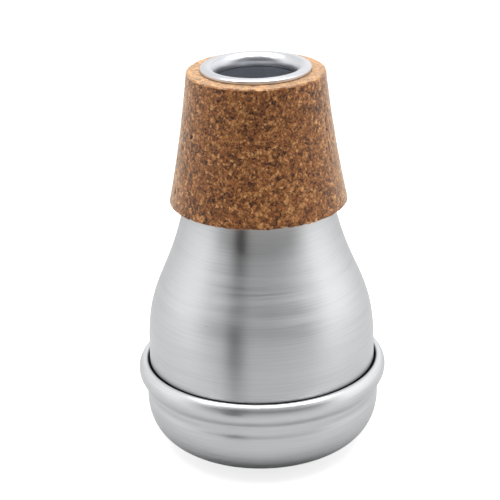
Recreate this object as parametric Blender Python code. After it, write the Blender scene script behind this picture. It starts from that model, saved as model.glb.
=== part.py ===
"""Practice mute for a trumpet: a spun aluminium pear with a cork collar.

The mute stands on its base, mouth up. The origin is the centre of the foot and +Z is the axis
that every piece is turned about. Units are metres.

Five pieces, from the bottom up:
  base_cap      spun dome, whose rim is rolled into a bead that locks the body in
  body_shell    spun neck, shoulder and wall, ending in a flange inside that bead
  cork_sleeve   pressed cork collar that grips the trumpet's bell
  mouth_ring    turned ring that caps the neck and rounds its mouth
  throat_tube   plain tube that hangs from the ring and carries the sound into the chamber
"""

import math

import bmesh
import bpy
import numpy as np

MM = 0.001
FACETS = 48
SHARP_CORNER = math.radians(35)

# Sheet and fits
WALL = 1.0 * MM
BEND_RADIUS = 0.3 * MM
CLEARANCE = 0.3 * MM

# Body: a straight wall, an S-shaped shoulder and a neck that flares like the bell it goes into
BODY_RADIUS = 38.6 * MM
WALL_TOP = 36.2 * MM
SHOULDER_LOWER_PULL = 23.3 * MM
SHOULDER_UPPER_PULL = 27.5 * MM
NECK_FOOT_RADIUS = 24.9 * MM
NECK_END_RADIUS = 17.9 * MM
NECK_BOW = 0.6 * MM

# Cork collar, glued round the neck
CORK_FOOT = 87.1 * MM
CORK_LENGTH = 44.0 * MM
CORK_WALL = 4.6 * MM
CORK_EDGE = 0.5 * MM
NECK_PROUD = 0.8 * MM

# Ring in the mouth, and the tube below it
RING_OVERHANG = 0.3 * MM
RING_EDGE = 0.5 * MM
LIP_RISE = 0.8 * MM
LIP_WIDTH = 4.9 * MM
LIP_OUTER_SHARE = 0.4
THROAT_RADIUS = 13.3 * MM
THROAT_DEPTH = 3.8 * MM
SHOULDER_LAND = 0.4 * MM
SPIGOT_LENGTH = 8.0 * MM
TUBE_WALL = 1.0 * MM
TUBE_LENGTH = 52.0 * MM

# Base cap: foot, dome, groove and rolled bead
FOOT_RADIUS = 20.0 * MM
FOOT_WIDTH = 6.0 * MM
DISH_DEPTH = 1.2 * MM
DISH_SLOPE_WIDTH = 4.0 * MM
VENT_RADIUS = 1.5 * MM
DOME_HEIGHT = 17.3 * MM
DOME_WALL_PULL = 15.3 * MM
DOME_FOOT_PULL = 6.6 * MM
GROOVE_HEIGHT = 19.4 * MM
GROOVE_WIDTH = 4.0 * MM
GROOVE_DEPTH = 0.35 * MM
BEAD_HEIGHT = 27.0 * MM
BEAD_BULGE = 2.6 * MM
BEAD_ARC = 4.6 * MM
BEAD_FILLET = 1.5 * MM
FLANGE_DROP = 0.6 * MM
FLANGE_BEND = 0.4 * MM

# Colours as linear red, green and blue
SATIN_ALUMINIUM = (0.66, 0.67, 0.68)
BRIGHT_ALUMINIUM = (0.80, 0.81, 0.83)
CORK_BROWN = (0.36, 0.18, 0.08)


# Outlines: arrays of (radius, height) points

def line(start, stop):
    """The two ends of a straight stretch."""
    return np.array([start, stop])


def arc(centre, radius, start, stop, steps):
    """A circular arc about a centre, from one angle to another, in radians."""
    angle = np.linspace(start, stop, steps + 1)
    return np.column_stack((centre[0] + radius * np.cos(angle), centre[1] + radius * np.sin(angle)))


def ellipse_quarter(centre, reach, rise, start, steps):
    """A quarter of an ellipse, walked anticlockwise from the angle start."""
    angle = np.linspace(start, start + math.pi / 2, steps + 1)
    return np.column_stack((centre[0] + reach * np.cos(angle), centre[1] + rise * np.sin(angle)))


def bezier(start, start_handle, stop_handle, stop, steps):
    """A cubic curve from start to stop, which leaves and arrives along its two handles."""
    points = np.array([start, start_handle, stop_handle, stop])
    t = np.linspace(0.0, 1.0, steps + 1)[:, None]
    weights = np.hstack(((1 - t) ** 3, 3 * t * (1 - t) ** 2, 3 * t ** 2 * (1 - t), t ** 3))
    return weights @ points


def swell(start, stop, depth, steps):
    """A straight run that swells out by depth halfway and comes back, as a raised cosine."""
    t = np.linspace(0.0, 1.0, steps + 1)
    points = np.outer(1 - t, start) + np.outer(t, stop)
    points[:, 0] += depth * 0.5 * (1 - np.cos(math.tau * t))
    return points


def ramp(start, stop, steps):
    """A soft step from start to stop that leaves and arrives level."""
    t = np.linspace(0.0, 1.0, steps + 1)
    share = 0.5 * (1 - np.cos(math.pi * t))
    radius = start[0] + (stop[0] - start[0]) * t
    height = start[1] + (stop[1] - start[1]) * share
    return np.column_stack((radius, height))


def join(*stretches):
    """One path out of several, with each shared end kept once."""
    path = np.vstack(stretches)
    step = np.linalg.norm(np.diff(path, axis=0), axis=1)
    return path[np.concatenate(([True], step > 0.001 * MM))]


def offset(path, distance):
    """The same path moved to the right of its direction, with mitred corners."""
    along = np.diff(path, axis=0)
    along /= np.linalg.norm(along, axis=1)[:, None]
    right = np.column_stack((along[:, 1], -along[:, 0]))
    before = np.vstack((right[:1], right))
    after = np.vstack((right, right[-1:]))
    mitre = (before + after) / (1 + np.sum(before * after, axis=1))[:, None]
    return path + distance * mitre


def sheet(face, wall):
    """The closed section of a sheet: the face that shows, and its back one wall behind it."""
    return np.vstack((face, offset(face, wall)[::-1]))


# Sizes that follow from the ones above

CORK_TOP = CORK_FOOT + CORK_LENGTH
NECK_END = CORK_TOP + NECK_PROUD

RING_RADIUS = NECK_END_RADIUS + RING_OVERHANG
RING_SEAT = NECK_END + CLEARANCE
LIP_CREST = RING_SEAT + RING_EDGE + LIP_RISE
SPIGOT_RADIUS = NECK_END_RADIUS - WALL - CLEARANCE
THROAT_BOTTOM = LIP_CREST - THROAT_DEPTH - SHOULDER_LAND
TUBE_RADIUS = THROAT_RADIUS + TUBE_WALL
TUBE_TOP = THROAT_BOTTOM - CLEARANCE

CAP_RADIUS = BODY_RADIUS + CLEARANCE + WALL
CURL_LEG_RADIUS = BODY_RADIUS + CLEARANCE
CURL_BEND = BEND_RADIUS + WALL
BEAD_CENTRE = np.array([CAP_RADIUS + BEAD_BULGE - BEAD_ARC, BEAD_HEIGHT])
FLANGE_TOP = BEAD_HEIGHT - FLANGE_DROP
FLANGE_UNDERSIDE = FLANGE_TOP - WALL


def neck(steps, shift=0.0, low=CORK_FOOT, high=NECK_END):
    """The neck's outline from high to low, moved outwards by shift.

    Between its end and the foot of the cork it is a parabola that hangs NECK_BOW inside the
    straight line between the two.
    """
    height = np.linspace(high, low, steps + 1)
    down = (NECK_END - height) / (NECK_END - CORK_FOOT)
    straight = NECK_END_RADIUS + (NECK_FOOT_RADIUS - NECK_END_RADIUS) * down
    return np.column_stack((straight - 4 * NECK_BOW * down * (1 - down) + shift, height))


def neck_foot_slope():
    """How fast the neck widens where the shoulder takes over, per unit of drop."""
    drop = NECK_END - CORK_FOOT
    return (NECK_FOOT_RADIUS - NECK_END_RADIUS + 4 * NECK_BOW) / drop


def flange_reach():
    """The radius at which the flange's lower corner meets the inside of the bead."""
    room = BEAD_ARC - WALL - CLEARANCE
    return BEAD_CENTRE[0] + math.sqrt(room ** 2 - (BEAD_HEIGHT - FLANGE_UNDERSIDE) ** 2)


def body_shell_outline():
    """Neck, shoulder and wall, turned out at the bottom into the flange that the bead holds."""
    slope = neck_foot_slope()
    shoulder_top = (NECK_FOOT_RADIUS, CORK_FOOT)
    upper_handle = (NECK_FOOT_RADIUS + slope * SHOULDER_UPPER_PULL, CORK_FOOT - SHOULDER_UPPER_PULL)
    lower_handle = (BODY_RADIUS, WALL_TOP + SHOULDER_LOWER_PULL)
    shoulder = bezier(shoulder_top, upper_handle, lower_handle, (BODY_RADIUS, WALL_TOP), 11)
    bend_centre = (BODY_RADIUS + FLANGE_BEND, FLANGE_TOP + FLANGE_BEND)
    bend = arc(bend_centre, FLANGE_BEND, math.pi, 1.5 * math.pi, 3)
    flange = line(bend[-1], (flange_reach(), FLANGE_TOP))
    return sheet(join(neck(5), shoulder, bend, flange), WALL)


def rolled_bead():
    """The cap's rim: down the body's wall, over the top, round the bead and back to the wall.

    A tight curl and the bead's own arc touch from inside, and a fillet leads from the bead into
    the cap's wall. The cut edge of the rim stands on the flange and holds it down.
    """
    curl_x = CURL_LEG_RADIUS + CURL_BEND
    curl_side = curl_x - BEAD_CENTRE[0]
    curl_up = math.sqrt((BEAD_ARC - CURL_BEND) ** 2 - curl_side ** 2)
    curl_centre = (curl_x, BEAD_HEIGHT + curl_up)
    touch = math.atan2(curl_up, curl_side)

    fillet_x = CAP_RADIUS + BEAD_FILLET
    fillet_side = fillet_x - BEAD_CENTRE[0]
    fillet_down = math.sqrt((BEAD_ARC + BEAD_FILLET) ** 2 - fillet_side ** 2)
    leave = -math.atan2(fillet_down, fillet_side)

    cut_edge = (CURL_LEG_RADIUS, FLANGE_TOP + CLEARANCE)
    leg = line(cut_edge, (CURL_LEG_RADIUS, curl_centre[1]))
    curl = arc(curl_centre, CURL_BEND, math.pi, touch, 4)
    bead = arc(BEAD_CENTRE, BEAD_ARC, touch, leave, 7)
    fillet = arc((fillet_x, BEAD_HEIGHT - fillet_down), BEAD_FILLET, math.pi + leave, math.pi, 3)
    # The fillet turns the other way, so its last angle is a half turn
    return join(leg, curl, bead, fillet)


def base_cap_outline():
    """Bead, groove, dome, flat foot and dished centre with the vent through it."""
    groove_top = (CAP_RADIUS, GROOVE_HEIGHT + GROOVE_WIDTH / 2)
    groove_foot = (CAP_RADIUS, GROOVE_HEIGHT - GROOVE_WIDTH / 2)
    groove = swell(groove_top, groove_foot, -GROOVE_DEPTH, 4)
    dome_top = (CAP_RADIUS, DOME_HEIGHT)
    dome_handles = (CAP_RADIUS, DOME_HEIGHT - DOME_WALL_PULL), (FOOT_RADIUS + DOME_FOOT_PULL, 0.0)
    dome = bezier(dome_top, *dome_handles, (FOOT_RADIUS, 0.0), 8)
    dish_edge = FOOT_RADIUS - FOOT_WIDTH
    dish_floor = dish_edge - DISH_SLOPE_WIDTH
    dish = ramp((dish_edge, 0.0), (dish_floor, DISH_DEPTH), 3)
    centre = line(dish[-1], (VENT_RADIUS, DISH_DEPTH))
    return sheet(join(rolled_bead(), groove, dome, dish, centre), WALL)


def cork_sleeve_outline():
    """A sleeve of even wall that follows the neck, with its two outer edges sanded off."""
    back = neck(5, CLEARANCE, CORK_FOOT, CORK_TOP)
    face = neck(5, CLEARANCE + CORK_WALL, CORK_FOOT + CORK_EDGE, CORK_TOP - CORK_EDGE)
    top = (face[0, 0] - CORK_EDGE, CORK_TOP)
    foot = (face[-1, 0] - CORK_EDGE, CORK_FOOT)
    return np.vstack((top, face, foot, back[::-1]))


def mouth_ring_outline():
    """A lip that overhangs the neck, a funnel into the throat and a spigot inside the neck."""
    outer_share = LIP_WIDTH * LIP_OUTER_SHARE
    edge_centre = (RING_RADIUS - RING_EDGE, RING_SEAT + RING_EDGE)
    edge = ellipse_quarter(edge_centre, RING_EDGE, RING_EDGE, -math.pi / 2, 3)
    crest_centre = (RING_RADIUS - outer_share, RING_SEAT + RING_EDGE)
    outer_lip = ellipse_quarter(crest_centre, outer_share, LIP_RISE, 0.0, 4)
    funnel_reach = crest_centre[0] - THROAT_RADIUS
    funnel_centre = (crest_centre[0], LIP_CREST - THROAT_DEPTH)
    funnel = ellipse_quarter(funnel_centre, funnel_reach, THROAT_DEPTH, math.pi / 2, 6)
    # The funnel is the inside of that quarter: level at the crest, upright at the throat
    bore = TUBE_RADIUS + CLEARANCE
    spigot_foot = RING_SEAT - SPIGOT_LENGTH
    lower = np.array([
        (THROAT_RADIUS, THROAT_BOTTOM),
        (bore, THROAT_BOTTOM),
        (bore, spigot_foot),
        (SPIGOT_RADIUS, spigot_foot),
        (SPIGOT_RADIUS, RING_SEAT),
    ])
    return join(edge, outer_lip, funnel, lower)[::-1]


def throat_tube_outline():
    """A straight tube cut square at both ends."""
    foot = TUBE_TOP - TUBE_LENGTH
    return np.array([
        (TUBE_RADIUS, TUBE_TOP),
        (TUBE_RADIUS, foot),
        (THROAT_RADIUS, foot),
        (THROAT_RADIUS, TUBE_TOP),
    ])


# Blender objects

def clear_scene():
    for thing in list(bpy.data.objects):
        bpy.data.objects.remove(thing, do_unlink=True)


def material(name, colour, roughness, metallic):
    """A Principled finish of one colour."""
    finish = bpy.data.materials.new(name)
    finish.use_nodes = True
    shader = finish.node_tree.nodes["Principled BSDF"]
    shader.inputs["Base Color"].default_value = (*colour, 1.0)
    shader.inputs["Roughness"].default_value = roughness
    shader.inputs["Metallic"].default_value = metallic
    return finish


def turned(name, outline, finish):
    """Spin a closed outline once round Z. It runs down its outer side, so faces point out."""
    shape = bmesh.new()
    corners = [shape.verts.new((radius, 0.0, height)) for radius, height in outline]
    sides = [shape.edges.new(pair) for pair in zip(corners, corners[1:] + corners[:1])]
    bmesh.ops.spin(
        shape, geom=corners + sides, cent=(0, 0, 0), axis=(0, 0, 1),
        angle=math.tau, steps=FACETS, use_merge=True,
    )
    mesh = bpy.data.meshes.new(name)
    shape.to_mesh(mesh)
    shape.free()
    mesh.shade_smooth()
    mesh.set_sharp_from_angle(angle=SHARP_CORNER)
    mesh.materials.append(finish)
    piece = bpy.data.objects.new(name, mesh)
    bpy.context.scene.collection.objects.link(piece)
    return piece


def build_mute():
    clear_scene()
    body = material("satin_body", SATIN_ALUMINIUM, 0.36, 1.0)
    cap = material("satin_cap", SATIN_ALUMINIUM, 0.32, 1.0)
    bright = material("bright_ring", BRIGHT_ALUMINIUM, 0.15, 1.0)
    plain = material("plain_tube", SATIN_ALUMINIUM, 0.45, 1.0)
    cork = material("cork", CORK_BROWN, 0.9, 0.0)
    turned("base_cap", base_cap_outline(), cap)
    turned("body_shell", body_shell_outline(), body)
    turned("cork_sleeve", cork_sleeve_outline(), cork)
    turned("mouth_ring", mouth_ring_outline(), bright)
    turned("throat_tube", throat_tube_outline(), plain)


build_mute()
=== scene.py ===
# %% [markdown]
# A practice mute for a trumpet: a pear of spun aluminium, a collar of pressed cork and a bright ring
# in the mouth. The construction model gives the places and sizes of its five pieces. This lesson
# dresses them: each piece is worked out again as a fine surface of revolution, and its finish is
# made from noise that follows the tool marks. The frame comes first, because all sizes hang on it.

# %% Load the frame and keep its box
import math

import bpy
import numpy as np
from mathutils import Euler, Matrix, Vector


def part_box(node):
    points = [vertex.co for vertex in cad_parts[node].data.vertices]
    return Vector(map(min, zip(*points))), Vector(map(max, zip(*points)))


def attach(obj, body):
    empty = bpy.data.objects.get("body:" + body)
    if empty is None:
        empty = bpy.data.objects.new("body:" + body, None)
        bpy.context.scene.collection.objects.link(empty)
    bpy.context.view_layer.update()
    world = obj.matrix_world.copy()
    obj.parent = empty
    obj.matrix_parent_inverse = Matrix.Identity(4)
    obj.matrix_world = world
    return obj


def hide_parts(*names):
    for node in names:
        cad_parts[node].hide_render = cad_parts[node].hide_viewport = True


MM = 0.001


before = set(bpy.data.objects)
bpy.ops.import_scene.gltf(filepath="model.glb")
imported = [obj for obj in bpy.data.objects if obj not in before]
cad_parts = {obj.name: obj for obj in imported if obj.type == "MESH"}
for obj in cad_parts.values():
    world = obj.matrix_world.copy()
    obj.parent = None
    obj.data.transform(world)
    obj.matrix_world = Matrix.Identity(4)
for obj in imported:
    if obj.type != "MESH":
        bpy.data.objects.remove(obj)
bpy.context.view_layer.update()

# %% [markdown]
# The photograph was taken from a little above, with a long lens. A camera is placed by its distance,
# its height and its tilt, and those three fix how round the mouth and the seam look. The picture is
# turned by a little more than a degree, so the camera is rolled by as much. The lens follows from
# how many pixels one unit of slope covers in a picture 500 pixels wide.

# %% Camera
PICTURE_WIDTH = 500
PIXELS_PER_SLOPE = 1700
SENSOR_WIDTH = 36.0
CAMERA_DISTANCE = 532.7 * MM
CAMERA_HEIGHT = 283.6 * MM
CAMERA_TILT = math.radians(21.96)
CAMERA_YAW = math.radians(0.35)
CAMERA_ROLL = math.radians(-1.35)
NEAREST_SEEN = 10 * MM

camera_data = bpy.data.cameras.new("camera")
camera_data.sensor_width = SENSOR_WIDTH
camera_data.lens = SENSOR_WIDTH * PIXELS_PER_SLOPE / PICTURE_WIDTH
camera_data.clip_start = NEAREST_SEEN
camera = bpy.data.objects.new("camera", camera_data)
place = Matrix.Translation((0.0, -CAMERA_DISTANCE, CAMERA_HEIGHT))
aim = Euler((math.pi / 2 - CAMERA_TILT, 0.0, CAMERA_YAW)).to_matrix()
roll = Matrix.Rotation(CAMERA_ROLL, 3, "Z")
camera.matrix_world = place @ (aim @ roll).to_4x4()
bpy.context.scene.collection.objects.link(camera)
bpy.context.scene.camera = camera
bpy.context.scene.view_settings.view_transform = "Standard"
print("lens in mm:", round(camera_data.lens, 1))

# %% [markdown]
# Materials are small graphs of nodes. A few helpers keep their recipes short: one adds a node and
# plugs in its inputs, which may be numbers or other nodes' outputs, and the others do sums, soft
# steps and mixtures. With them a recipe reads from top to bottom, like a formula.

# %% Helpers for nodes

def add_node(tree, kind, settings=None, **inputs):
    """A new node. Settings are its own properties. An input is a value or an output for a socket,
    called by its number, as in i0, or by its name with _ for a space."""
    node = tree.nodes.new(kind)
    for name, value in (settings or {}).items():
        setattr(node, name, value)
    for name, value in inputs.items():
        numbered = name[1:].isdigit()
        socket = node.inputs[int(name[1:]) if numbered else name.replace("_", " ")]
        if isinstance(value, bpy.types.NodeSocket):
            tree.links.new(value, socket)
        else:
            socket.default_value = value
    return node


def maths(tree, operation, *values):
    """One sum on numbers or outputs."""
    slots = {f"i{place}": value for place, value in enumerate(values)}
    return add_node(tree, "ShaderNodeMath", {"operation": operation}, **slots).outputs[0]


def step_between(tree, value, low, high, start=0.0, stop=1.0):
    """A soft step: start up to low, stop from high on, and a smooth curve between them."""
    settings = {"interpolation_type": "SMOOTHSTEP"}
    inputs = {"i0": value, "i1": low, "i2": high, "i3": start, "i4": stop}
    return add_node(tree, "ShaderNodeMapRange", settings, **inputs).outputs[0]


def split(tree, vector):
    """The three numbers of a vector, as a list of outputs."""
    return add_node(tree, "ShaderNodeSeparateXYZ", i0=vector).outputs


def mix_colours(tree, share, low, high):
    """Low where share is 0 and high where it is 1. The colours are sockets 6 and 7 of the node."""
    settings = {"data_type": "RGBA"}
    return add_node(tree, "ShaderNodeMix", settings, i0=share, i6=low, i7=high).outputs[2]


print("node helpers ready")

# %% [markdown]
# A material starts as an empty graph with an output. Its patterns stand on the object's own
# coordinates, so that they stay on the piece when it is moved.

# %% Helpers for materials

def new_material(name):
    """An empty material with its output, as (material, tree, output node)."""
    finish = bpy.data.materials.new(name)
    finish.use_nodes = True
    finish.node_tree.nodes.clear()
    output = finish.node_tree.nodes.new("ShaderNodeOutputMaterial")
    return finish, finish.node_tree, output


def object_place(tree):
    """Where a point lies on the piece."""
    return add_node(tree, "ShaderNodeTexCoord").outputs["Object"]


def opaque(colour):
    """A colour with its fourth number, which says that nothing shows through."""
    return (*colour, 1.0)


WHITE = opaque((1.0, 1.0, 1.0))
print("material helpers ready")

# %% [markdown]
# Polished and brushed metal shows the room more than itself. The room here is a plain studio: a wide
# soft light on each side, a grey wall behind the camera that gets darker higher up and has one dark
# strip in it, and a bright ceiling. The two side lights leave the dark band down the middle of the
# body. Panels of light could stand there, but the room is painted on the world as soft steps over
# the compass angle and the elevation, which gives clean light from few samples. The camera itself
# sees white in place of the room.

# %% World
SIDE_LIGHT_EDGE = math.radians(43)
SIDE_LIGHT_FULL = math.radians(92)
SIDE_LIGHT_BACK = math.radians(140)
SIDE_LIGHT_LEVEL = 1.18
RIGHT_SIDE_GAIN = 1.14
BACK_LEVEL = 1.0
WALL_LOW_LEVEL = 0.68
WALL_HIGH_LEVEL = 0.02
WALL_LOW_ELEVATION = math.radians(-8)
WALL_HIGH_ELEVATION = math.radians(26)
CEILING_LOW_ELEVATION = math.radians(58)
CEILING_HIGH_ELEVATION = math.radians(76)
CEILING_LEVEL = 1.1
DARK_STRIP_ANGLE = math.radians(-27)
DARK_STRIP_HALF_WIDTH = math.radians(17)


def directions(tree):
    """Compass angle, 0 in front of the mute and a quarter turn at +X, and elevation."""
    x, y, z = split(tree, add_node(tree, "ShaderNodeTexCoord").outputs["Generated"])
    compass = maths(tree, "ARCTAN2", x, maths(tree, "MULTIPLY", y, -1.0))
    return compass, maths(tree, "ARCSINE", z)


def wall_level(tree, compass, elevation):
    """The wall behind the camera: a step down over the elevation, times a strip that is black."""
    wall = step_between(tree, elevation, WALL_LOW_ELEVATION, WALL_HIGH_ELEVATION,
                        WALL_LOW_LEVEL, WALL_HIGH_LEVEL)
    from_strip = maths(tree, "ABSOLUTE", maths(tree, "SUBTRACT", compass, DARK_STRIP_ANGLE))
    return maths(tree, "MULTIPLY", wall, step_between(tree, from_strip, 0.0, DARK_STRIP_HALF_WIDTH))


def side_light_level(tree, compass, turn):
    """The lights at the sides: one level there and another behind, a little more on the right."""
    level = step_between(tree, turn, SIDE_LIGHT_FULL, SIDE_LIGHT_BACK, SIDE_LIGHT_LEVEL, BACK_LEVEL)
    gain = step_between(tree, compass, -SIDE_LIGHT_EDGE, SIDE_LIGHT_EDGE, 1.0, RIGHT_SIDE_GAIN)
    return maths(tree, "MULTIPLY", level, gain)


world = bpy.data.worlds.new("studio")
world.use_nodes = True
bpy.context.scene.world = world
tree = world.node_tree
tree.nodes.clear()
compass, elevation = directions(tree)
turn = maths(tree, "ABSOLUTE", compass)
side = step_between(tree, turn, SIDE_LIGHT_EDGE, SIDE_LIGHT_FULL)
from_side = maths(tree, "MULTIPLY", side, side_light_level(tree, compass, turn))
not_side = maths(tree, "SUBTRACT", 1.0, side)
from_wall = maths(tree, "MULTIPLY", wall_level(tree, compass, elevation), not_side)
around = maths(tree, "ADD", from_side, from_wall)
ceiling = step_between(tree, elevation, CEILING_LOW_ELEVATION, CEILING_HIGH_ELEVATION,
                       0.0, CEILING_LEVEL)
level = maths(tree, "MAXIMUM", around, ceiling)
room = add_node(tree, "ShaderNodeBackground", Color=level).outputs[0]
white = add_node(tree, "ShaderNodeBackground", Color=WHITE).outputs[0]
is_camera = add_node(tree, "ShaderNodeLightPath").outputs["Is Camera Ray"]
seen = add_node(tree, "ShaderNodeMixShader", i0=is_camera, i1=room, i2=white).outputs[0]
add_node(tree, "ShaderNodeOutputWorld", Surface=seen)
print("world with", len(tree.nodes), "nodes")

# %% [markdown]
# The lamp overhead lights the top of the cork and the ring, and puts the bright band on the bead. A
# bead mirrors a wide lamp as a long thin band, so the lamp is a wide panel.

# %% Lamp overhead
LAMP_WIDTH = 900 * MM
LAMP_DEPTH = 300 * MM
LAMP_HEIGHT = 700 * MM
LAMP_FORWARD = 40 * MM
LAMP_POWER = 6.0

lamp_data = bpy.data.lights.new("overhead", "AREA")
lamp_data.shape = "RECTANGLE"
lamp_data.size = LAMP_WIDTH
lamp_data.size_y = LAMP_DEPTH
lamp_data.energy = LAMP_POWER
lamp = bpy.data.objects.new("overhead", lamp_data)
lamp.location = (0.0, -LAMP_FORWARD, LAMP_HEIGHT)
bpy.context.scene.collection.objects.link(lamp)
print("lamp in W:", LAMP_POWER)

# %% [markdown]
# The floor is a pale sheet that ends just in front of the picture, so that the metal's front shows
# the grey room and not a white table. It glows a little for the camera, which makes it white, while
# the object's soft shadow still darkens it. From below it is clear, so that the foot can be seen.

# %% Floor
FLOOR_FRONT = -115 * MM
FLOOR_BACK = 1600 * MM
FLOOR_HALF_WIDTH = 1200 * MM
FLOOR_COLOUR = opaque((0.48, 0.48, 0.48))
FLOOR_GLOW = 0.78

floor_finish, tree, output = new_material("pale_floor")
paper = add_node(tree, "ShaderNodeBsdfDiffuse", Color=FLOOR_COLOUR).outputs[0]
is_camera = add_node(tree, "ShaderNodeLightPath").outputs["Is Camera Ray"]
glow_strength = maths(tree, "MULTIPLY", is_camera, FLOOR_GLOW)
glow = add_node(tree, "ShaderNodeEmission", Strength=glow_strength).outputs[0]
both = add_node(tree, "ShaderNodeAddShader", i0=paper, i1=glow).outputs[0]
from_below = add_node(tree, "ShaderNodeNewGeometry").outputs["Backfacing"]
clear = add_node(tree, "ShaderNodeBsdfTransparent").outputs[0]
seen = add_node(tree, "ShaderNodeMixShader", i0=from_below, i1=both, i2=clear).outputs[0]
tree.links.new(seen, output.inputs["Surface"])

floor_mesh = bpy.data.meshes.new("floor")
corners = [(-FLOOR_HALF_WIDTH, FLOOR_FRONT), (FLOOR_HALF_WIDTH, FLOOR_FRONT),
           (FLOOR_HALF_WIDTH, FLOOR_BACK), (-FLOOR_HALF_WIDTH, FLOOR_BACK)]
floor_mesh.from_pydata([(x, y, 0.0) for x, y in corners], [], [(0, 1, 2, 3)])
floor_mesh.materials.append(floor_finish)
floor = bpy.data.objects.new("floor", floor_mesh)
bpy.context.scene.collection.objects.link(floor)
print("floor starts", round(-FLOOR_FRONT / MM), "mm in front of the axis")

# %% [markdown]
# Every piece of the mute was turned on a lathe or spun on one. Such a piece is one closed outline,
# swept round the axis. The outline could be spun by an operator, but a grid worked out in numpy gives
# the same surface at once: its rows are the outline's points and its columns are angles. Both
# directions close on themselves, so the mesh has no open edge and no pole.

# %% A grid round the axis
COLUMNS = 256


def turned_grid(outline, columns=COLUMNS):
    """Points (r cos a, r sin a, z): r and z run along the outline, a runs once round the axis."""
    angle = np.arange(columns) * math.tau / columns + math.pi / 2
    radius, height = outline[:, :1], outline[:, 1:]
    level = np.broadcast_to(height, (len(outline), columns))
    return np.stack((radius * np.cos(angle), radius * np.sin(angle), level), axis=-1)


def closed_quads(rows, columns):
    """Quads between neighbours of a grid whose last row and column meet the first."""
    row, column = np.meshgrid(np.arange(rows), np.arange(columns), indexing="ij")
    below, beside = (row + 1) % rows, (column + 1) % columns
    corners = (row * columns + column, below * columns + column,
               below * columns + beside, row * columns + beside)
    return np.stack(corners, axis=-1).reshape(-1, 4)


print("columns round the axis:", COLUMNS)

# %% [markdown]
# Two measures come with a piece. The length walked along its outline tells the brushed lines where
# they are. The volume tells which way its faces point, because it is negative on a mesh that is
# inside out.

# %% Length and volume

def walked(outline):
    """The length walked along the outline up to each of its points."""
    step = np.linalg.norm(np.diff(outline, axis=0), axis=1)
    return np.concatenate(([0.0], np.cumsum(step)))


def volume_of(points, quads):
    """Signed volume: a sixth of the sum of a . (b x c) over both triangles of each quad."""
    a, b, c, d = (points[quads[:, place]] for place in range(4))
    return np.sum(a * (np.cross(b, c) + np.cross(c, d))) / 6


print("a slope 3 wide and 4 high is", walked(np.array([(0, 0), (3, 4)]))[-1], "long")

# %% [markdown]
# A grid becomes a piece when its points and quads are put into a mesh, and the mesh gets its finish.
# It is shaded smooth, apart from edges that turn by more than the sharp corner. The piece then rides
# on the body of the mute and stands in for one node of the construction.

# %% From a grid to a piece
SHARP_CORNER = math.radians(35)


def make_piece(name, grid, finish, slot, node, **values):
    """A closed grid as an object. Each value, one for a row, is stored on the points of that row."""
    points = grid.reshape(-1, 3)
    quads = closed_quads(*grid.shape[:2])
    mesh = bpy.data.meshes.new(name)
    mesh.from_pydata(points.tolist(), [], quads.tolist())
    for label, value in values.items():
        spread = np.repeat(value, grid.shape[1]).astype(np.float32)
        mesh.attributes.new(label, "FLOAT", "POINT").data.foreach_set("value", spread)
    mesh.shade_smooth()
    mesh.set_sharp_from_angle(angle=SHARP_CORNER)
    mesh.materials.append(finish)
    piece = bpy.data.objects.new(name, mesh)
    bpy.context.scene.collection.objects.link(piece)
    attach(piece, "root")
    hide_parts(node)
    print(name, "-", 2 * len(quads), "triangles,", round(volume_of(points, quads) / MM ** 3), "mm3")


print("corners sharper than", round(math.degrees(SHARP_CORNER)), "degrees stay sharp")

# %% [markdown]
# The outlines are the ones that a spinner would draw: straight runs, arcs, quarters of ellipses and
# one S-curve for the shoulder. They could be Blender's own curves, but as rows of numbers they go
# straight into the grid.

# %% Curves for outlines

def line(start, stop, steps=1):
    """Points evenly spaced from start to stop."""
    share = np.linspace(0.0, 1.0, steps + 1)
    return np.outer(1 - share, start) + np.outer(share, stop)


def ellipse_arc(centre, reach, rise, start, stop, steps):
    """centre + (reach cos a, rise sin a), with the angle a from start to stop."""
    angle = np.linspace(start, stop, steps + 1)
    return np.column_stack((centre[0] + reach * np.cos(angle), centre[1] + rise * np.sin(angle)))


def arc(centre, radius, start, stop, steps):
    """A circular arc about a centre."""
    return ellipse_arc(centre, radius, radius, start, stop, steps)


def bezier(start, start_handle, stop_handle, stop, steps):
    """A cubic curve: the four points weighted by the terms of (t + (1 - t)) cubed."""
    t = np.linspace(0.0, 1.0, steps + 1)[:, None]
    weights = np.hstack(((1 - t) ** 3, 3 * t * (1 - t) ** 2, 3 * t ** 2 * (1 - t), t ** 3))
    return weights @ np.array([start, start_handle, stop_handle, stop])


def ease(share):
    """From 0 at share 0 to 1 at share 1 and back to 0 at share 2, level at each: (1 - cos) / 2."""
    return 0.5 * (1 - np.cos(math.pi * share))


quarter_circle = arc((0.0, 0.0), 1.0, 0.0, math.pi / 2, 32)
print("a quarter circle of radius 1 is", round(walked(quarter_circle)[-1], 3), "long")

# %% [markdown]
# Stretches of curve are joined into one path. A sheet has two faces, so the face that shows is
# walked first, and its back is the same path moved in by one wall, with mitred corners, and walked
# the other way.

# %% Paths and sheets
SAME_POINT = 0.001 * MM


def join(*stretches):
    """One path out of several, with each shared end kept once."""
    path = np.vstack(stretches)
    step = np.linalg.norm(np.diff(path, axis=0), axis=1)
    return path[np.concatenate(([True], step > SAME_POINT))]


def sheet(face, wall):
    """The face, and its back: each point moved to the right of the path by wall, mitred."""
    along = np.diff(face, axis=0)
    along /= np.linalg.norm(along, axis=1)[:, None]
    right = np.column_stack((along[:, 1], -along[:, 0]))
    before = np.vstack((right[:1], right))
    after = np.vstack((right, right[-1:]))
    mitre = (before + after) / (1 + np.sum(before * after, axis=1))[:, None]
    return np.vstack((face, (face + wall * mitre)[::-1]))


rim = sheet(quarter_circle[::-1], 0.1)
print("walked downwards, a quarter circle of radius 1 has its back at", round(rim[-1, 1], 2))

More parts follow.
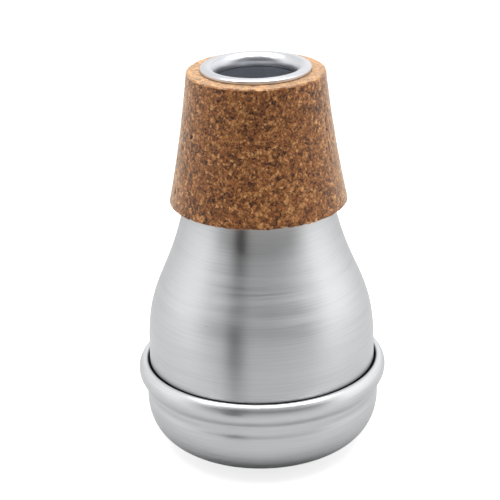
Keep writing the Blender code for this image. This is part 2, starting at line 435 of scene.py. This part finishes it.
# %% [markdown]
# The sizes that several pieces share come from the frame: the cork's foot and top, the ring's crest,
# the widest point of the bead. The rest are the construction's own, such as the sheet's thickness.
# A closer look at the photograph changed two of them a little: the cork swells up round the ring,
# and the ring's edge reaches further down over the end of the neck.

# %% Shared sizes
cork_low, cork_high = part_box("cork_sleeve")
tube_low, tube_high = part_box("throat_tube")
body_low, body_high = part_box("body_shell")
ring_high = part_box("mouth_ring")[1]
cap_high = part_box("base_cap")[1]

WALL = 1.0 * MM
CLEARANCE = 0.3 * MM
BODY_RADIUS = 38.6 * MM
CAP_RADIUS = BODY_RADIUS + CLEARANCE + WALL
CORK_SWELL = 0.7 * MM
CORK_FOOT = cork_low.z
CORK_TOP = cork_high.z + CORK_SWELL
NECK_END = body_high.z
NECK_END_RADIUS = 17.9 * MM
RING_SKIRT = 0.5 * MM
BEAD_HEIGHT = 27.0 * MM
FLANGE_TOP = body_low.z + WALL
print("bead in mm across:", round(2 * cap_high.x / MM, 1))
print("cork in mm long:", round((CORK_TOP - CORK_FOOT) / MM, 1))

# %% [markdown]
# Spun aluminium is finished on the lathe with an abrasive pad, which leaves fine lines round the
# axis. The lines are noise that is stretched: slow along the line, quick across it. The quick
# direction is the length walked along the outline, which each point carries, so the lines follow the
# dome and the bead as they do on the real piece. A wider set of bands and some smudges go with them,
# because a pad never cuts evenly.

# %% Noise for brushed lines
LINES_ACROSS = 3600.0
LINES_AROUND = 45.0
LINE_DETAIL = 2.0
BANDS_ACROSS = 420.0
BANDS_AROUND = 14.0
BAND_DETAIL = 3.0
SMUDGES = 45.0
SMUDGE_DETAIL = 2.0


def stretched_noise(tree, around, across, detail):
    """Noise at (x around, y around, walked across), which is slow round the axis."""
    x, y, _ = split(tree, object_place(tree))
    path = add_node(tree, "ShaderNodeAttribute", {"attribute_name": "walked"}).outputs["Fac"]
    scaled = [maths(tree, "MULTIPLY", x, around), maths(tree, "MULTIPLY", y, around),
              maths(tree, "MULTIPLY", path, across)]
    where = add_node(tree, "ShaderNodeCombineXYZ", i0=scaled[0], i1=scaled[1], i2=scaled[2])
    return add_node(tree, "ShaderNodeTexNoise", Vector=where.outputs[0], Scale=1.0,
                    Detail=detail).outputs[0]


def swayed(tree, noise, reach):
    """Noise from 0 to 1 as a sway about nothing: noise times reach, less half of reach."""
    return maths(tree, "MULTIPLY_ADD", noise, reach, -reach / 2)


print("lines to a millimetre of path:", round(LINES_ACROSS * MM, 1))

# %% [markdown]
# Each line is a tiny groove, so a highlight stays narrow round the piece and spreads along its
# outline. That is what the anisotropy of the shader does, with a tangent that turns about Z. Lines,
# bands and smudges sway the roughness, lines and bands the shade, and lines the slope. The shade in
# the seam's gap is painted nearly black, and the points carry how much of it there is.

# %% Brushed metal
LINE_SWAY = 0.14
BAND_SWAY = 0.08
SMUDGE_SWAY = 0.08
BAND_SHARE = 0.3
GROOVE_SHADE = 0.90
SHADE_DARK_BELOW = 0.3
SHADE_CLEAN_ABOVE = 0.6
LINE_SLOPE = 0.35
QUARTER_TURN = 0.25
# Nearly black colour of the painted shade in the seam's gap.
SEAM_SHADE_COLOUR = opaque((0.05, 0.05, 0.055))


def brushed(name, colour, roughness, anisotropy, line_depth):
    """Metal with lines round the axis. They sway its roughness, its shade and its slope."""
    finish, tree, output = new_material(name)
    lines = stretched_noise(tree, LINES_AROUND, LINES_ACROSS, LINE_DETAIL)
    bands = stretched_noise(tree, BANDS_AROUND, BANDS_ACROSS, BAND_DETAIL)
    smudge = add_node(tree, "ShaderNodeTexNoise", Vector=object_place(tree), Scale=SMUDGES,
                      Detail=SMUDGE_DETAIL).outputs[0]
    sway = maths(tree, "ADD", swayed(tree, lines, LINE_SWAY), swayed(tree, bands, BAND_SWAY))
    sway = maths(tree, "ADD", sway, swayed(tree, smudge, SMUDGE_SWAY))
    rough = maths(tree, "ADD", sway, roughness)
    from_lines = maths(tree, "MULTIPLY", lines, 1 - BAND_SHARE)
    shade = maths(tree, "MULTIPLY_ADD", bands, BAND_SHARE, from_lines)
    share = step_between(tree, shade, SHADE_DARK_BELOW, SHADE_CLEAN_ABOVE)
    dark = opaque(GROOVE_SHADE * value for value in colour)
    clean = mix_colours(tree, share, dark, opaque(colour))
    # Painted shade: the seam's dark line, mixed in as far as the points carry it.
    grime = add_node(tree, "ShaderNodeAttribute", {"attribute_name": "grime"}).outputs["Fac"]
    mixed = mix_colours(tree, grime, clean, SEAM_SHADE_COLOUR)
    slope = add_node(tree, "ShaderNodeBump", Strength=LINE_SLOPE, Distance=line_depth,
                     Height=lines).outputs[0]
    tangent = add_node(tree, "ShaderNodeTangent", {"direction_type": "RADIAL", "axis": "Z"})
    shader = add_node(
        tree, "ShaderNodeBsdfPrincipled", Base_Color=mixed, Metallic=1.0, Roughness=rough,
        Anisotropic=anisotropy, Anisotropic_Rotation=QUARTER_TURN, Normal=slope,
        Tangent=tangent.outputs[0],
    )
    tree.links.new(shader.outputs[0], output.inputs["Surface"])
    return finish


body_metal = brushed("brushed_body", (0.71, 0.72, 0.73),
                     roughness=0.34, anisotropy=0.9, line_depth=0.02 * MM)
cap_metal = brushed("brushed_cap", (0.72, 0.73, 0.74),
                    roughness=0.32, anisotropy=0.8, line_depth=0.02 * MM)
ring_metal = brushed("bright_ring", (0.68, 0.69, 0.72),
                     roughness=0.30, anisotropy=0.6, line_depth=0.004 * MM)
tube_metal = brushed("drawn_tube", (0.50, 0.52, 0.57),
                     roughness=0.42, anisotropy=0.3, line_depth=0.03 * MM)
print("four metals ready")

# %% [markdown]
# Where the bead is rolled onto the body, the narrow gap of the seam lies in shade as a thin dark
# line. That shade is painted: a dark colour on the points near the seam's mouth, as long as the rows
# of points are close together there.

# %% Painted shade in the seam
# Painted shade along the seam: where it starts, how wide it is and how soft its edges are.
SEAM_MOUTH = BEAD_HEIGHT + 3.5 * MM
SEAM_WIDTH = 1.2 * MM
SEAM_SHADE_REACH = 0.28 * MM


def seam_grime(outline):
    """Painted shade of the seam: 1 below the seam's mouth and inside its width, 0 elsewhere, with soft
    edges of the reach set above.
    """
    below = np.clip((SEAM_MOUTH - outline[:, 1]) / SEAM_SHADE_REACH + 0.5, 0.0, 1.0)
    within = np.clip((BODY_RADIUS + SEAM_WIDTH - outline[:, 0]) / SEAM_SHADE_REACH + 0.5, 0.0, 1.0)
    return below * within * (outline[:, 1] > FLANGE_TOP)


print("seam's mouth in mm up:", round(SEAM_MOUTH / MM, 1))

# %% [markdown]
# The body is one spun sheet: the neck flares a little, as the bell does that it goes into, the
# shoulder is an S-curve, and the wall runs straight into the seam. Its foot is turned out into a
# flange that the bead holds. The S-curve leaves the neck along the neck's own slope and comes down
# upright, so only its two pulls are free.

# %% Body
NECK_FOOT_RADIUS = 24.9 * MM
NECK_BOW = 0.6 * MM
SHOULDER_UPPER_PULL = 27.5 * MM
SHOULDER_LOWER_PULL = 23.3 * MM
WALL_TOP = 36.2 * MM
FLANGE_BEND = 0.4 * MM
FLANGE_REACH = body_high.x
NECK_STEPS = 16
SHOULDER_STEPS = 60
WALL_STEPS = 64
BEND_STEPS = 8
FLANGE_STEPS = 3


def neck(steps, shift, low, high):
    """The straight line from the neck's end to its foot, less a parabola NECK_BOW deep, plus shift."""
    height = np.linspace(high, low, steps + 1)
    down = (NECK_END - height) / (NECK_END - CORK_FOOT)
    straight = NECK_END_RADIUS + (NECK_FOOT_RADIUS - NECK_END_RADIUS) * down
    return np.column_stack((straight - 4 * NECK_BOW * down * (1 - down) + shift, height))


def body_outline():
    """Neck, shoulder, wall and flange, then the sheet's back."""
    slope = (NECK_FOOT_RADIUS - NECK_END_RADIUS + 4 * NECK_BOW) / (NECK_END - CORK_FOOT)
    upper = (NECK_FOOT_RADIUS + slope * SHOULDER_UPPER_PULL, CORK_FOOT - SHOULDER_UPPER_PULL)
    lower = (BODY_RADIUS, WALL_TOP + SHOULDER_LOWER_PULL)
    shoulder = bezier((NECK_FOOT_RADIUS, CORK_FOOT), upper, lower, (BODY_RADIUS, WALL_TOP),
                      SHOULDER_STEPS)
    bend_centre = (BODY_RADIUS + FLANGE_BEND, FLANGE_TOP + FLANGE_BEND)
    wall = line((BODY_RADIUS, WALL_TOP), (BODY_RADIUS, bend_centre[1]), WALL_STEPS)
    bend = arc(bend_centre, FLANGE_BEND, math.pi, 1.5 * math.pi, BEND_STEPS)
    flange = line(bend[-1], (FLANGE_REACH, FLANGE_TOP), FLANGE_STEPS)
    top = neck(NECK_STEPS, 0.0, CORK_FOOT, NECK_END - RING_SKIRT)
    return sheet(join(top, shoulder, wall, bend, flange), WALL)


outline = body_outline()
make_piece("body", turned_grid(outline), body_metal, "body_aluminium", "body_shell",
           walked=walked(outline), grime=seam_grime(outline))

# %% [markdown]
# The base is a second spun sheet, and its rim is rolled over into the bead. The curl at the top is
# tight, so a thin dark line stays between bead and body. The bead, the curl and the fillet under it
# are three arcs that touch each other, so each centre follows from the others. The fillet is wider
# than the construction's, as the photograph shows it.

# %% Rolled bead
BEAD_ARC = 4.6 * MM
BEAD_FILLET = 2.6 * MM
BEND_RADIUS = 0.3 * MM
BEAD_CENTRE = np.array([cap_high.x - BEAD_ARC, BEAD_HEIGHT])
LEG_STEPS = 2
CURL_STEPS = 14
BEAD_STEPS = 36
FILLET_STEPS = 10


def rolled_bead():
    """Up the inner leg, over the curl, round the bead's arc and out through the fillet."""
    leg_radius = BODY_RADIUS + CLEARANCE
    curl_bend = BEND_RADIUS + WALL
    curl_side = leg_radius + curl_bend - BEAD_CENTRE[0]
    curl_up = math.sqrt((BEAD_ARC - curl_bend) ** 2 - curl_side ** 2)
    curl_centre = (leg_radius + curl_bend, BEAD_HEIGHT + curl_up)
    touch = math.atan2(curl_up, curl_side)
    fillet_side = CAP_RADIUS + BEAD_FILLET - BEAD_CENTRE[0]
    fillet_down = math.sqrt((BEAD_ARC + BEAD_FILLET) ** 2 - fillet_side ** 2)
    leave = -math.atan2(fillet_down, fillet_side)
    fillet_centre = (CAP_RADIUS + BEAD_FILLET, BEAD_HEIGHT - fillet_down)
    leg = line((leg_radius, FLANGE_TOP + CLEARANCE), (leg_radius, curl_centre[1]), LEG_STEPS)
    curl = arc(curl_centre, curl_bend, math.pi, touch, CURL_STEPS)
    bead = arc(BEAD_CENTRE, BEAD_ARC, touch, leave, BEAD_STEPS)
    fillet = arc(fillet_centre, BEAD_FILLET, math.pi + leave, math.pi, FILLET_STEPS)
    return join(leg, curl, bead, fillet)


bead_path = rolled_bead()
print("bead's path in mm:", round(walked(bead_path)[-1] / MM, 1))

# %% [markdown]
# Below the bead the base has a groove, which is a little shallower here than in the construction,
# and then it is drawn in to a dome. It stands on a flat ring, and its middle is dished, with a small
# vent. One cubic curve makes the dome: it starts upright and ends level, so again only its two pulls
# are free.

# %% Base
GROOVE_HEIGHT = 19.4 * MM
GROOVE_WIDTH = 4.0 * MM
GROOVE_DEPTH = 0.25 * MM
DOME_HEIGHT = 17.3 * MM
DOME_WALL_PULL = 15.3 * MM
DOME_FOOT_PULL = 6.6 * MM
FOOT_RADIUS = 20.0 * MM
FOOT_WIDTH = 6.0 * MM
DISH_DEPTH = 1.2 * MM
DISH_SLOPE_WIDTH = 4.0 * MM
VENT_RADIUS = 1.5 * MM
GROOVE_STEPS = 16
DOME_STEPS = 48
DISH_STEPS = 12
DISH_FLOOR_STEPS = 8


def base_outline():
    """Bead, groove, dome, flat foot and dished centre with its vent, then the sheet's back."""
    share = np.linspace(0.0, 1.0, GROOVE_STEPS + 1)
    groove = np.column_stack((CAP_RADIUS - GROOVE_DEPTH * ease(2 * share),
                              GROOVE_HEIGHT + GROOVE_WIDTH * (0.5 - share)))
    dome = bezier((CAP_RADIUS, DOME_HEIGHT), (CAP_RADIUS, DOME_HEIGHT - DOME_WALL_PULL),
                  (FOOT_RADIUS + DOME_FOOT_PULL, 0.0), (FOOT_RADIUS, 0.0), DOME_STEPS)
    share = np.linspace(0.0, 1.0, DISH_STEPS + 1)
    dish = np.column_stack((FOOT_RADIUS - FOOT_WIDTH - DISH_SLOPE_WIDTH * share,
                            DISH_DEPTH * ease(share)))
    dish_floor = line(dish[-1], (VENT_RADIUS, DISH_DEPTH), DISH_FLOOR_STEPS)
    return sheet(join(bead_path, groove, dome, dish, dish_floor), WALL)


outline = base_outline()
make_piece("base", turned_grid(outline), cap_metal, "cap_aluminium", "base_cap",
           walked=walked(outline), grime=seam_grime(outline))

# %% [markdown]
# The ring in the mouth is turned from bar: a soft lip, a funnel into the throat and a spigot that is
# pressed into the neck. It is one closed outline again. The lip and the funnel are quarters of
# ellipses, because both meet the crest level.

# %% Ring
RING_EDGE = 0.5 * MM
LIP_RISE = 0.8 * MM
LIP_OUTER_WIDTH = 1.96 * MM
THROAT_RADIUS = 13.3 * MM
THROAT_DEPTH = 3.8 * MM
SPIGOT_LENGTH = 8.0 * MM
EDGE_STEPS = 8
LIP_STEPS = 16
FUNNEL_STEPS = 28


def ring_outline():
    """Walked from the seat outwards and over, then turned round so that it runs down outside."""
    radius, crest = ring_high.x, ring_high.z
    crest_radius = radius - LIP_OUTER_WIDTH
    shoulder = crest - LIP_RISE
    seat = shoulder - RING_EDGE - RING_SKIRT
    foot = seat - SPIGOT_LENGTH
    throat_bottom = tube_high.z + CLEARANCE
    spigot_radius = NECK_END_RADIUS - WALL - CLEARANCE
    bore = tube_high.x + CLEARANCE
    edge_centre = (radius - RING_EDGE, seat + RING_EDGE)
    edge = arc(edge_centre, RING_EDGE, -math.pi / 2, 0.0, EDGE_STEPS)
    lip = ellipse_arc((crest_radius, shoulder), LIP_OUTER_WIDTH, LIP_RISE,
                      0.0, math.pi / 2, LIP_STEPS)
    funnel = ellipse_arc((crest_radius, crest - THROAT_DEPTH), crest_radius - THROAT_RADIUS,
                         THROAT_DEPTH, math.pi / 2, math.pi, FUNNEL_STEPS)
    lower = np.array([(THROAT_RADIUS, throat_bottom), (bore, throat_bottom), (bore, foot),
                      (spigot_radius, foot), (spigot_radius, seat)])
    return join(edge, lip, funnel, lower)[::-1]


outline = ring_outline()
make_piece("ring", turned_grid(outline), ring_metal, "ring_aluminium", "mouth_ring",
           walked=walked(outline))

# %% [markdown]
# The throat tube hangs below the ring, at the same bore. It is plain drawn tube, cut square at both
# ends, so its outline is a tall narrow box.

# %% Throat tube
TUBE_STEPS = 24


def tube_outline():
    """Down outside and up inside, square at both ends."""
    outside = line((tube_high.x, tube_high.z), (tube_high.x, tube_low.z), TUBE_STEPS)
    inside = line((THROAT_RADIUS, tube_low.z), (THROAT_RADIUS, tube_high.z), TUBE_STEPS)
    return np.vstack((outside, inside))


outline = tube_outline()
make_piece("tube", turned_grid(outline), tube_metal, "tube_aluminium", "throat_tube",
           walked=walked(outline))

# %% [markdown]
# The collar is agglomerated cork: granules of bark, a millimetre or two across, pressed with a little
# glue and sanded. The granules are worked out as cells in space: each point looks for its nearest and
# second nearest granule centre, and lies on a join where the two are equally near. Cells in space
# have no seam, and they run over the edges of the collar as the granules do. Each granule also draws
# a lot, a number from 0 to 1 that later says how deep it lies and whether it fell out.

# %% Granules
GRANULE = 1.5 * MM
CORK_SEED = 7


def granules(points):
    """For each point: second least distance to a centre less the least, in granules, and the lot
    of its granule. The centres are one to a cell, and only the 27 cells round a point are tried."""
    cell = np.floor(points / GRANULE).astype(int)
    low = cell.reshape(-1, 3).min(axis=0) - 1
    size = cell.reshape(-1, 3).max(axis=0) - low + 2
    random = np.random.default_rng(CORK_SEED)
    jitter = random.random((*size, 3))
    lot = random.random(size)
    nearest = np.full(points.shape[:2], np.inf)
    second = np.full(points.shape[:2], np.inf)
    chosen = np.zeros(points.shape[:2])
    for shift in np.ndindex(3, 3, 3):
        near = cell + np.array(shift) - 1
        index = tuple(np.moveaxis(near - low, -1, 0))
        distance = np.linalg.norm(points / GRANULE - near - jitter[index], axis=-1)
        closer = distance < nearest
        second = np.where(closer, nearest, np.minimum(second, distance))
        chosen = np.where(closer, lot[index], chosen)
        nearest = np.where(closer, distance, nearest)
    return second - nearest, chosen


print("granules in mm:", round(GRANULE / MM, 1))

# %% [markdown]
# The collar's own outline is the neck's curve twice: once just outside the neck, and once a cork
# wall further out. Its rows and columns are close together, about a quarter of a granule, so that
# the relief has points to stand on.

# %% Outline of the collar
CORK_WALL = 4.6 * MM
CORK_EDGE = 0.45 * MM
CORK_STEP = 0.42 * MM
CORK_COLUMNS = 400
BACK_STEPS = 12


def cork_outline():
    """Top face outwards, down the outer face, foot face inwards and up the back, with the number
    of rows that show."""
    back = neck(BACK_STEPS, CLEARANCE, CORK_FOOT, CORK_TOP)
    face = neck(round((CORK_TOP - CORK_FOOT) / CORK_STEP), CLEARANCE + CORK_WALL,
                CORK_FOOT + CORK_EDGE, CORK_TOP - CORK_EDGE)
    across = round(CORK_WALL / CORK_STEP)
    top = line(back[0], (face[0, 0] - CORK_EDGE, CORK_TOP), across)
    foot = line((face[-1, 0] - CORK_EDGE, CORK_FOOT), back[-1], across)
    return np.vstack((top, face, foot, back[::-1][1:-1])), len(top) + len(face) + len(foot)


outline, showing = cork_outline()
grid = turned_grid(outline, CORK_COLUMNS)
print("rows of the collar:", len(outline), "of which", showing, "show")

# %% [markdown]
# Its surface is level where granules were cut through, sunk along the joins, and pitted where a
# granule fell out. A Displace modifier could do that, but the depth is known for every point, so the
# points are moved at once, square to the outline. The foot's edge is a little ragged, because
# granules tear out there.

# %% Relief of the collar
JOIN_DEPTH = 0.09 * MM
JOIN_WIDTH = 0.22
LEVEL_SWAY = 0.05 * MM
PIT_DEPTH = 0.32 * MM
PIT_RIM = 0.4
PIT_SHARE = 0.05
FOOT_RAGGED = 0.30 * MM
RAGGED_REACH = 1.2 * MM


def inwards(outline):
    """Unit vectors into the cork: the line between a point's two neighbours, turned right."""
    along = np.roll(outline, -1, axis=0) - np.roll(outline, 1, axis=0)
    along /= np.linalg.norm(along, axis=1)[:, None]
    return np.column_stack((along[:, 1], -along[:, 0]))


def relief(join_gap, lot):
    """How deep each point sinks: exp(-(gap / width) squared) at joins, its granule's lot, and pits."""
    groove = JOIN_DEPTH * np.exp(-(join_gap / JOIN_WIDTH) ** 2)
    pit = np.where(lot > 1 - PIT_SHARE, PIT_DEPTH * np.clip(join_gap / PIT_RIM, 0, 1), 0.0)
    return groove + LEVEL_SWAY * lot + pit


join_gap, lot = granules(grid)
shown = np.zeros(len(outline))
shown[1:showing - 1] = 1.0
depth = relief(join_gap, lot) * shown[:, None]
one_mm_in = turned_grid(outline + inwards(outline) * MM, CORK_COLUMNS) - grid
grid = grid + one_mm_in * (depth / MM)[..., None]
near_foot = np.exp(-((outline[:, 1] - CORK_FOOT) / RAGGED_REACH) ** 2) * shown
grid[..., 2] += FOOT_RAGGED * near_foot[:, None] * lot
print("cork sinks by up to", round(depth.max() / MM, 2), "mm")

# %% [markdown]
# The granules differ in colour from straw to nearly black. Two sets of cells, one coarse and one
# fine, pick each granule's colour from a ramp, and noise bends the outlines of the cells, which would
# be straight otherwise.

# %% Colours of the granules
COARSE_CELLS = 620.0
FINE_CELLS = 1500.0
COARSE_SHARE = 0.45
WAVER_SCALE = 900.0
WAVER_DETAIL = 2.0
WAVER_REACH = 1.1 * MM
CORK_COLOURS = (
    (0.08, (0.035, 0.010, 0.003)),
    (0.26, (0.16, 0.050, 0.010)),
    (0.48, (0.32, 0.110, 0.026)),
    (0.70, (0.47, 0.190, 0.055)),
    (0.92, (0.70, 0.36, 0.14)),
)


def wavering_place(tree):
    """The place on the piece plus noise times WAVER_REACH."""
    place = object_place(tree)
    noise = add_node(tree, "ShaderNodeTexNoise", Vector=place, Scale=WAVER_SCALE,
                     Detail=WAVER_DETAIL).outputs["Color"]
    return add_node(tree, "ShaderNodeVectorMath", {"operation": "MULTIPLY_ADD"},
                    i0=noise, i1=(WAVER_REACH,) * 3, i2=place).outputs[0]


def colour_ramp(tree, value, stops):
    """The colour at value, between stops that each have a position and a colour."""
    ramp = add_node(tree, "ShaderNodeValToRGB", i0=value)
    elements = ramp.color_ramp.elements
    while len(elements) < len(stops):
        elements.new(0.5)
    for element, (position, colour) in zip(elements, stops):
        element.position = position
        element.color = opaque(colour)
    return ramp.outputs[0]


def granule_colours(tree, where):
    """The ramp at a mixture of the coarse and fine cells' lots, and the fine lot by itself."""
    coarse = add_node(tree, "ShaderNodeTexVoronoi", Vector=where, Scale=COARSE_CELLS)
    fine = add_node(tree, "ShaderNodeTexVoronoi", Vector=where, Scale=FINE_CELLS)
    coarse_lot = split(tree, coarse.outputs["Color"])[0]
    fine_lot = split(tree, fine.outputs["Color"])[1]
    from_fine = maths(tree, "MULTIPLY", fine_lot, 1 - COARSE_SHARE)
    blend = maths(tree, "MULTIPLY_ADD", coarse_lot, COARSE_SHARE, from_fine)
    return colour_ramp(tree, blend, CORK_COLOURS), fine_lot


print("cork colours:", len(CORK_COLOURS))

# %% [markdown]
# Dark bark lies between the granules, and a scatter of small dark specks goes over them. The top
# face is painted paler where it points up, as the lamp overhead lights it. Cork is dull, and at a
# glancing angle its rough skin catches the light, which is what sheen is for.

# %% Cork finish
BARK_COLOUR = opaque((0.03, 0.012, 0.006))
BARK_REACH = 0.11
BARK_SHADE = 0.45
SPECK_SCALE = 1100.0
SPECK_DETAIL = 3.0
SPECK_FULL_BELOW = 0.30
SPECK_NONE_ABOVE = 0.40
SPECK_SHADE = 0.25
# Painted light on the top face: a paler colour where the face points up, mixed in between the two
# slopes.
TOP_LIGHT_COLOUR = opaque((0.66, 0.46, 0.26))
TOP_LIGHT_SHARE = 0.30
TOP_LIGHT_FROM_SLOPE = 0.5
TOP_LIGHT_FULL_SLOPE = 0.9
GRAIN_DEPTH = 0.12 * MM
GRAIN_SLOPE = 0.5
SHEEN_COLOUR = opaque((1.0, 0.9, 0.75))


def bark_and_specks(tree, where):
    """1 on clean cork, less along the edges of the coarse cells and in the low spots of noise."""
    edge = add_node(tree, "ShaderNodeTexVoronoi", {"feature": "DISTANCE_TO_EDGE"}, Vector=where,
                    Scale=COARSE_CELLS).outputs["Distance"]
    bark = step_between(tree, edge, 0.0, BARK_REACH, BARK_SHADE, 1.0)
    noise = add_node(tree, "ShaderNodeTexNoise", Vector=object_place(tree), Scale=SPECK_SCALE,
                     Detail=SPECK_DETAIL).outputs[0]
    speck = step_between(tree, noise, SPECK_FULL_BELOW, SPECK_NONE_ABOVE, SPECK_SHADE, 1.0)
    return maths(tree, "MULTIPLY", bark, speck)


def cork_finish():
    """Colour by cells in space, dark along the joins, painted paler where it faces up, rough all over.
    """
    finish, tree, output = new_material("pressed_cork")
    where = wavering_place(tree)
    colour, fine_lot = granule_colours(tree, where)
    shade = bark_and_specks(tree, where)
    colour = mix_colours(tree, shade, BARK_COLOUR, colour)
    # Painted light: paler where the face points up, as if lit by the lamp overhead.
    upward = split(tree, add_node(tree, "ShaderNodeNewGeometry").outputs["Normal"])[2]
    painted_top_light = step_between(tree, upward, TOP_LIGHT_FROM_SLOPE, TOP_LIGHT_FULL_SLOPE, 0.0, TOP_LIGHT_SHARE)
    colour = mix_colours(tree, painted_top_light, colour, TOP_LIGHT_COLOUR)
    height = maths(tree, "MULTIPLY_ADD", fine_lot, 0.5, maths(tree, "MULTIPLY", shade, 0.5))
    grain = add_node(tree, "ShaderNodeBump", Strength=GRAIN_SLOPE, Distance=GRAIN_DEPTH,
                     Height=height).outputs[0]
    shader = add_node(tree, "ShaderNodeBsdfPrincipled", Base_Color=colour, Roughness=0.65,
                      Specular_IOR_Level=0.35, Sheen_Weight=0.70, Sheen_Roughness=0.4,
                      Sheen_Tint=SHEEN_COLOUR, Normal=grain)
    tree.links.new(shader.outputs[0], output.inputs["Surface"])
    return finish


make_piece("cork", grid, cork_finish(), "cork", "cork_sleeve")
